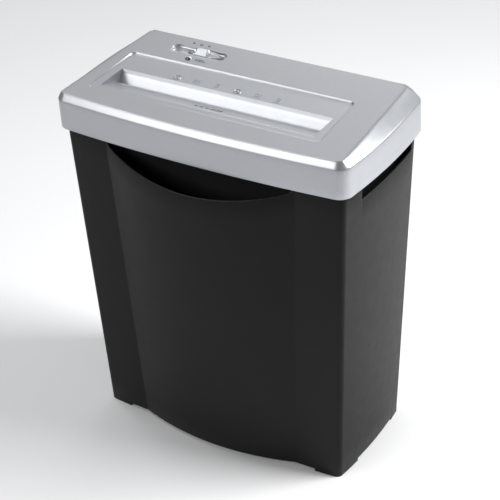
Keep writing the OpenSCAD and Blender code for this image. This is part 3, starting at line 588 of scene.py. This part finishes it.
def head_height(x, y):
    """Height of the head's outside, with its edges softened."""
    flat = FLAT_HALF - (top_at(y) - TOP_Z) / END_SLOPE
    edge = END_CX + sqrt(END_R ** 2 - y * y)
    edge_z = lerp(BEVEL_Z, END_EDGE_Z, smooth((y + 55) / 110))
    end = top_at(y) - (abs(x) - flat) * (top_at(y) - edge_z) / (edge - flat)
    return soft_min(soft_min(top_at(y), end, 0.8), edge_z + rim_distance(x, y) * BEVEL_RISE, 1.0)


CORNER_X, CORNER_Y = corner_centre(CORNER_FRONT, END_R, FRONT_R)
CORNER_A0 = atan2(CORNER_Y - FRONT_CY, CORNER_X)
CORNER_A1 = atan2(CORNER_Y, CORNER_X - END_CX)


def inset_ring(d):
    """A ring d inside the plan, held near the edge at the front and the back."""
    front = d if d < 6 else 6 + (d - 6) * 0.15
    back = d if d < 3 else 3 + (d - 3) * 0.08
    return head_ring(d, front, back)


def rounded_box(x0, y0, x1, y1, r, slant=0.0, n=7):
    """Points round a rounded rectangle whose right side leans back by slant."""
    ring = []
    for cx, cy, start in ((x0 + r, y0 + r, 180), (x1 - r, y0 + r, 270), (x1 - r, y1 - r, 0),
                          (x0 + r, y1 - r, 90)):
        lean = (cy - y0) * slant if cx > x0 + r else 0
        ring += [(cx - lean + r * cos(radians(start + a)), cy + r * sin(radians(start + a)))
                 for a in spread(0, 90, n)]
    return ring


def densify(ring, step):
    """Adds points along the long sides of a ring."""
    out = []
    for (ax, ay), (bx, by) in zip(ring, ring[1:] + ring[:1]):
        n = max(1, round(sqrt((bx - ax) ** 2 + (by - ay) ** 2) / step))
        out += [(lerp(ax, bx, i / n), lerp(ay, by, i / n)) for i in range(n)]
    return out


def stadium(offset):
    r = WELL_R - offset
    right = [(WELL_X1 - WELL_R + r * cos(a), r * sin(a)) for a in spread(-pi / 2, pi / 2, 20)]
    left = [(WELL_X0 + WELL_R + r * cos(a), r * sin(a)) for a in spread(pi / 2, 1.5 * pi, 20)]
    return right + left


def well_floor(v):
    """Depth of the switch well, v in front of or behind its centre line."""
    return WELL_DEPTH * smooth((v + WELL_R) / 10.5)


RIM_INSETS = [0, 0.1, 0.3, 0.6, 0.9, 1.4, 1.9, 2.4, 2.8, 3.2, 3.6, 4, 4.5, 5, 6, 7.5, 9, 10.5,
              12, 13, 14, 15, 16, 17, 18, 20]


def outer_height(x, y, d):
    """Height of the outside at a point set in by d, with the rim rounded off."""
    drop = RIM_ROUND * (1 - sqrt(1 - (1 - min(d / RIM_ROUND, 1)) ** 2))
    return head_height(x, y) - drop


def add_back_holes(shape):
    """Vents and the gland's hole in the back wall, each as rings from outside to inside."""
    def vent(i):
        x = VENT_X + VENT_STEP * i
        return lambda o: rounded_box(x + o, VENT_Z0 + o, x + VENT_W - o, VENT_Z1 - o,
                                     VENT_R - o, n=4)

    def gland(o):
        return circle(GLAND_X, GLAND_Z, GLAND_R - o, 32)

    steps = ((-0.9, 0), (-0.35, 0), (-0.1, 0.1), (0, 0.35), (0, COVER_WALL - 0.3),
             (-0.3, COVER_WALL))
    holes = []
    for outline in [*[vent(i) for i in range(VENTS)], gland]:
        holes.append([shape.add([(x, HALF_D - depth, z) for x, z in outline(offset)])
                      for offset, depth in steps])
        shape.loft(holes[-1])
    return holes


def add_shell(shape):
    """The cover's walls and top. Returns the rings where its top and its ceiling stop."""
    outline = head_ring(0, 0, 0)
    rims = [outer_height(x, y, 0) for x, y in outline]
    low_edge = [shape.add([(x, y, z) for x, y in head_ring(d, d, d)])
                for d, z in ((0.45, SEAM), (0.12, SEAM + 0.12), (0, SEAM + 0.45))]
    wall = [shape.add([(x, y, lerp(SEAM + 0.45, rim, t)) for (x, y), rim in zip(outline, rims)])
            for t in (0.25, 0.5, 0.75)]
    top = [shape.add([(x, y, outer_height(x, y, d)) for x, y in inset_ring(d)])
           for d in RIM_INSETS]
    outside = [low_edge[-1], *wall, top[0]]
    inside = [shape.add([(x, y, SEAM) for x, y in inset_ring(COVER_WALL)])]
    inside += [shape.add([(x, y, head_height(x, y) - SKIN) for x, y in inset_ring(d)])
               for d in (COVER_WALL, 5, 7.5, 11.5, 15.5, 20)]

    # The back wall is flat between its corners, and filled round its holes.
    back = [i for i, (_, y) in enumerate(outline) if abs(y - HALF_D) < 1e-6]
    first, last = back[0], back[-1]

    def skip_back(a, b):
        for i in range(len(outline)):
            if not first <= i < last:
                j = (i + 1) % len(outline)
                shape.face((a[i], a[j], b[j], b[i]))

    def back_border(rows):
        """The border of the back wall's flat part, from its rows of points."""
        border = [rows[0][i] for i in range(first, last + 1)]
        border += [row[last] for row in rows[1:-1]]
        border += [rows[-1][i] for i in range(last, first - 1, -1)]
        return border + [row[first] for row in reversed(rows[1:-1])]

    shape.bridge(inside[0], low_edge[0])
    shape.loft(low_edge)
    for a, b in zip(outside, outside[1:]):
        skip_back(a, b)
    shape.loft(top)
    skip_back(inside[0], inside[1])
    shape.loft(inside[1:])
    holes = add_back_holes(shape)
    shape.fill(back_border(outside), [rings[0] for rings in holes], 1)
    shape.fill(back_border(inside[:2]), [rings[-1] for rings in holes], 1)
    return top[-1], inside[-1]


def add_panel(shape):
    """Shallow panel round the inlet: rings of a softened step down from the top."""
    rings = []
    for o, drop in ((-1, 0), (-0.3, 0), (-0.1, 0.05), (0.08, 0.18), (0.8, 0.86), (1.05, 0.97),
                    (1.5, 1)):
        ring = rounded_box(PANEL_LEFT + o, PANEL_FRONT + o, PANEL_RIGHT - o, PANEL_BACK - o,
                           PANEL_R - o, PANEL_SLANT)
        rings.append(shape.add([(x, y, lerp(top_at(y), panel_at(y), drop))
                                for x, y in densify(ring, 12)]))
    shape.loft(rings)
    return rings


def ramp_line():
    """Section of the inlet's ramp as (y, z), down to the bead along the slot and over it."""
    line = [(TROUGH_FRONT, panel_at(TROUGH_FRONT))]
    line += [(y, ramp_at(y) - 0.05 * smooth((y + 41) / 2))
             for y in (-40.3, -38, -30, -27, -25, -23, -21, -19.5)]
    line += [(y, ramp_at(y) + bead)
             for y, bead in ((-18.35, 0), (-18.1, 0.34), (-17.8, 0.45), (-17.4, 0.42),
                             (-17.1, 0.15), (LIP_Y, -0.4))]
    return line + [(LIP_Y, SLOT_LOW)]


def wall_line():
    """Section of the wall behind the slot as (y, z), from the slot up to the panel."""
    # It leans 22 degrees at the top and 35 by the slot, where it is undercut.
    heights, y, line = spread(panel_at(TROUGH_BACK), WALL_LOW, 16), TROUGH_BACK, []
    for i, z in enumerate(heights):
        if i:
            lean = lerp(22, 35, smooth((i / 16 - 0.25) / 0.25))
            y -= (heights[0] - heights[1]) * tan(radians(lean))
        line.append((y, z))
    return [(y + 1.5, SLOT_LOW), (y + 1.5, WALL_LOW - 0.5), (y + 0.2, WALL_LOW - 0.2),
            *reversed(line)]


def add_trough(shape, border):
    """The inlet, inside the ring given. Returns the border of its underside."""
    ramp, wall, skin = ramp_line(), wall_line(), 2.2

    def mouth_ring(offset):
        """A ring round the trough's mouth. It meets the ramp without a step at the front."""
        x0, x1, back_y = TROUGH_X0 + offset, TROUGH_X1 - offset, TROUGH_BACK - offset
        ys = [y for y, _ in ramp[1:-1]] + [wall[0][0]]
        ys = sorted({TROUGH_FRONT + min(offset, 0) * 0.5, *ys, back_y})
        xs = spread(x0, x1, 30)
        ring = [(x, ys[0]) for x in xs] + [(x1, y) for y in ys[1:-1]]
        ring += [(x, back_y) for x in reversed(xs)] + [(x0, y) for y in reversed(ys[1:-1])]
        return shape.add([(x, y, panel_at(y)) for x, y in ring])

    def sheet(line, spare):
        """Rows of points along the trough, which reach past its ends by spare."""
        xs = spread(TROUGH_X0 - spare, TROUGH_X1 + spare, 30)
        rows = [shape.add([(x, y, z) for x in xs]) for y, z in line]
        shape.loft(rows, closed=False)
        return rows

    outer, mouth = mouth_ring(-0.8), mouth_ring(0)
    shape.bridge(outer, mouth)
    shape.fill(border, [outer])
    ramp_rows, wall_rows = sheet(ramp, 0), sheet(wall, 0)
    # The underside, in front of the slot and behind it.
    front = sheet([(RAMP_Y, top_at(RAMP_Y) - SKIN), (LIP_Y - skin, 346.2),
                   (LIP_Y - skin, SLOT_LOW)], skin)
    back = sheet([(-7.4, SLOT_LOW), (-5.4, 345), (-2.6, top_at(-2.6) - SKIN)], skin)
    for end, end_x in ((0, TROUGH_X0), (-1, TROUGH_X1)):
        lip = [p for p in mouth if abs(shape.points[p][0] - end_x) < 1e-6]
        lip.sort(key=lambda p: shape.points[p][1])
        shape.fill([row[end] for row in ramp_rows + wall_rows] + lip[::-1][1:-1], drop_axis=0)
        shape.fill([row[end] for row in front + back], drop_axis=0)
    shape.fill(front[-1] + back[0][::-1], [ramp_rows[-1] + wall_rows[0][::-1]])
    return front[0] + back[-1][::-1]


def add_well(shape):
    """Switch well with a scooped floor. Returns its rim."""
    rings = [shape.add([(x, WELL_Y + v, top_at(WELL_Y + v) - depth * well_floor(v))
                        for x, v in stadium(offset)])
             for offset, depth in ((-1, 0), (-0.3, 0), (-0.06, 0.03), (0.06, 0.14), (0.2, 0.6),
                                   (0.4, 0.9), (0.8, 0.98), (2, 1))]
    shape.loft(rings)
    # Rows of points across the floor keep the scoop smooth.
    r, rows = WELL_R - 2, []
    for a in spread(-pi / 2, pi / 2, 20):
        v, reach = r * sin(a), r * cos(a)
        xs = spread(WELL_X0 + WELL_R - reach, WELL_X1 - WELL_R + reach, 24)
        z = top_at(WELL_Y + v) - well_floor(v)
        rows.append(shape.add([(x, WELL_Y + v, z) for x in xs]))
    shape.loft(rows, closed=False)
    return rings[0]


def add_lamp_hole(shape):
    """Rings of the lamp's hole, from the top down through the cover."""
    rings = [shape.add([(x, y, top_at(y) - depth)
                        for x, y in circle(LED_X, LED_Y, LED_R + gap, 40)])
             for gap, depth in ((1.3, 0), (0.6, 0), (0.3, 0.12), (0.15, 0.5), (0.15, SKIN))]
    shape.loft(rings)
    return rings


def make_head_cover():
    shape = Shape()
    top, ceiling = add_shell(shape)
    panel = add_panel(shape)
    underside = add_trough(shape, panel[-1])
    well, lamp = add_well(shape), add_lamp_hole(shape)
    shape.fill(top, [panel[0], well, lamp[0]])
    shape.fill(ceiling, [underside, lamp[-1]])
    shape.build("head_shell", "head", "silver_plastic", ["head_cover"], 30)


# ------------------------------------------------------------- small parts

def make_slider():
    """Boat-shaped slider with a raised saddle between two finger scoops."""
    length, width, scoop_depth, edge_drop = 41.0, 12.0, 1.9, 0.8
    saddle_left, saddle_right, saddle_skew = -11, 1.2, 0.2
    stem, floor_gap, thinnest = 1.5, 0.12, 0.25
    arc = (length ** 2 + width ** 2) / (4 * width)
    shape = Shape()
    us = spread(-length / 2 + 0.15, length / 2 - 0.15, 64)
    fs = spread(-1, 1, 44)

    def half_width(u):
        return sqrt(arc ** 2 - u * u) - (arc - width / 2)

    def top(u, f):
        v = f * half_width(u)
        rim = 0.35 - 0.5 * (u / length * 2) ** 2
        scoop = rim - scoop_depth * smooth((1 - abs(f)) / 0.4) * clamp(half_width(u) / 3)
        left, right = saddle_left - saddle_skew * v, saddle_right - saddle_skew * v
        swell = 1.6 + 2.6 * smooth((0.2 - f) / 1.2)
        near = smooth((u - left + swell) / swell) * smooth((right + swell - u) / swell)
        crest = lerp(-1.5, 1.9, clamp((v + 6) / 10.5)) - 0.4 * smooth((v - 4.9) / 1.1)
        return lerp(scoop, crest, near) - edge_drop * smooth((abs(f) - 0.84) / 0.16)

    def under(u, f):
        v = f * half_width(u)
        return -well_floor(v + SLIDER_Y - WELL_Y) + floor_gap

    def place(u, f, z):
        y = SLIDER_Y + f * half_width(u)
        return SLIDER_X + u, y, top_at(y) + z

    tops = [shape.add([place(u, f, max(top(u, f), under(u, f) + thinnest)) for f in fs])
            for u in us]
    unders = [shape.add([place(u, f, under(u, f)) for f in fs]) for u in us]
    shape.loft(tops, closed=False)
    shape.loft(unders, closed=False)
    for f in (0, -1):
        shape.bridge([row[f] for row in tops], [row[f] for row in unders], closed=False)
    for u in (0, -1):
        shape.bridge(tops[u], unders[u], closed=False)
    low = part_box("mode_slider")[0].z / MM
    shape.box(SLIDER_X - stem, SLIDER_Y - stem, low,
              SLIDER_X + stem, SLIDER_Y + stem, top_at(SLIDER_Y) - 2.2, 0.3)
    shape.build("slider_cap", "slider", "silver_plastic", ["mode_slider"], 60)


def make_lamp():
    """Clear dome with a flange, on its moulded body."""
    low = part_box("power_led")[0].z / MM
    surface, body_r, dome_h, around = top_at(LED_Y), 2.4, 1.9, 40
    dome_z = surface - 0.35
    profile = [(body_r - 0.2, low), (body_r, low + 0.3), (body_r, surface - 5.2),
               (LED_R - 0.2, surface - 5.0), (LED_R, surface - 4.6), (LED_R, dome_z)]
    profile += [(LED_R * cos(a), dome_z + dome_h * sin(a)) for a in spread(0, pi / 2, 10)[1:-1]]
    shape = Shape()
    rings = [shape.add([(x, y, z) for x, y in circle(LED_X, LED_Y, r, around)])
             for r, z in profile]
    shape.loft(rings)
    shape.face(rings[0][::-1])
    tip = shape.add([(LED_X, LED_Y, dome_z + dome_h)])[0]
    for i in range(around):
        shape.face((rings[-1][i], rings[-1][(i + 1) % around], tip))
    shape.build("lamp_lens", "head", "led_lens", ["power_led"], 50)


def make_spring():
    """Helical return spring with closed ends."""
    low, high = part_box("interlock_spring")
    cx, cy = (low.x + high.x) / 2 / MM, (low.y + high.y) / 2 / MM - SHIFT_Y
    turns, per_turn, wire, radius, spare = 6.5, 24, 0.4, 3.2, 0.42
    z0, z1 = low.z / MM + spare, high.z / MM - spare
    steps = int(turns * per_turn)
    shape = Shape()
    rings = []
    for i in range(steps + 1):
        t = i / steps
        rise = smooth(clamp((t - 0.1) / 0.8)) * 0.35 + clamp((t - 0.08) / 0.84) * 0.65
        a, z = 2 * pi * turns * t, lerp(z0, z1, rise)
        rings.append(shape.add([(cx + r * cos(a), cy + r * sin(a), z + height)
                                for r, height in circle(radius, 0, wire, 10)]))
    shape.loft(rings)
    shape.face(rings[0][::-1])
    shape.face(rings[-1])
    shape.build("return_spring", "plunger", "steel", ["interlock_spring"], 60)


def dress_cad_nodes():
    """Gives every CAD piece that stays its material and softened edges."""
    slots = {part["node"]: part["material_slot"] for part in frame["record"]["subparts"]}
    for name, obj in frame["nodes"].items():
        obj.data.materials.clear()
        obj.data.materials.append(MATERIALS[slots[name]])
        if name == "printed_marks":
            continue
        weld = obj.modifiers.new("weld", "WELD")
        weld.merge_threshold = 1e-6
        bevel = obj.modifiers.new("soft_edges", "BEVEL")
        bevel.width = (0.25 if name == "raised_marks" else 0.2) * MM
        bevel.segments = 2
        bevel.limit_method = "ANGLE"
        bevel.angle_limit = radians(50)
        bevel.harden_normals = False


# ------------------------------------------------------------ floor, light

def make_floor():
    """A sheet of white paper, 18 metres wide."""
    n = Nodes("floor_paper", (0.88, 0.88, 0.885), 0, 0.9, 0.1)
    n.set("Base Color", n.mix(n.remap(n.noise(400, 2), 0.3, 0.7, 0, 1),
                              (0.875, 0.875, 0.88, 1), (0.89, 0.89, 0.895, 1)))
    n.set("Normal", n.bump(n.noise(2, 3), 0.02))
    reach = 9
    mesh = bpy.data.meshes.new("floor")
    corners = [(-reach, -reach, 0), (reach, -reach, 0), (reach, reach, 0), (-reach, reach, 0)]
    mesh.from_pydata(corners, [], [(0, 1, 2, 3)])
    mesh.materials.append(n.material)
    floor = bpy.data.objects.new("floor", mesh)
    bpy.context.scene.collection.objects.link(floor)


def area_light(name, azimuth, elevation, distance, width, height, radiance, target=(0, 0, 0.25)):
    """A soft box that looks at the target. Azimuth 0 is in front, 90 on the right."""
    a, e = radians(azimuth), radians(elevation)
    back = Vector((sin(a) * cos(e), -cos(a) * cos(e), sin(e)))
    data = bpy.data.lights.new(name, "AREA")
    data.shape = "RECTANGLE"
    data.size, data.size_y, data.energy = width, height, radiance * pi * width * height
    lamp = bpy.data.objects.new(name, data)
    lamp.location = Vector(target) + back * distance
    lamp.rotation_mode = "QUATERNION"
    lamp.rotation_quaternion = back.to_track_quat("Z", "Y")
    bpy.context.scene.collection.objects.link(lamp)


def make_lights():
    """A dim white studio: a key on the right, fills on the left and a light on the floor behind."""
    world = bpy.data.worlds.new("studio")
    world.use_nodes = True
    world.node_tree.nodes["Background"].inputs["Color"].default_value = (0.95, 0.97, 1, 1)
    world.node_tree.nodes["Background"].inputs["Strength"].default_value = 0.17
    bpy.context.scene.world = world
    area_light("key_right", 113, 36, 1.2, 0.6, 0.6, 18)
    area_light("fill_front_left", -28, 27, 2.6, 1.9, 1.1, 4.2)
    area_light("fill_left_high", -95, 60, 1.6, 0.5, 0.5, 9)
    area_light("fill_back_left", -143, 40, 2.6, 2.5, 2.0, 0.5)
    area_light("backdrop", 180, 50, 1.5, 1.7, 0.8, 2.0, (-0.85, 1.5, 0))


def make_camera():
    """The camera of a longish lens, above and to the right of the front."""
    azimuth, elevation, roll = radians(34.18), radians(32.35), radians(3.89)
    target, distance = Vector((0, SHIFT_Y * MM, 0.187)), 1.5529
    back = Vector((sin(azimuth) * cos(elevation), -cos(azimuth) * cos(elevation), sin(elevation)))
    right = Vector((cos(azimuth), sin(azimuth), 0))
    up = back.cross(right)
    axes = Matrix((cos(roll) * right - sin(roll) * up, sin(roll) * right + cos(roll) * up, back))
    data = bpy.data.cameras.new("camera")
    data.sensor_width, data.lens = 36, 114.76
    data.shift_x, data.shift_y = 0.00946, -0.00325
    data.clip_start, data.clip_end = 0.05, 60
    camera = bpy.data.objects.new("camera", data)
    camera.matrix_world = Matrix.Translation(target + back * distance) @ axes.transposed().to_4x4()
    bpy.context.scene.collection.objects.link(camera)
    bpy.context.scene.camera = camera
    bpy.context.scene.view_settings.view_transform = "Standard"
    bpy.context.scene.view_settings.look = "None"


make_camera()
dress_cad_nodes()
make_bin()
make_head_cover()
make_slider()
make_lamp()
make_spring()
make_floor()
make_lights()
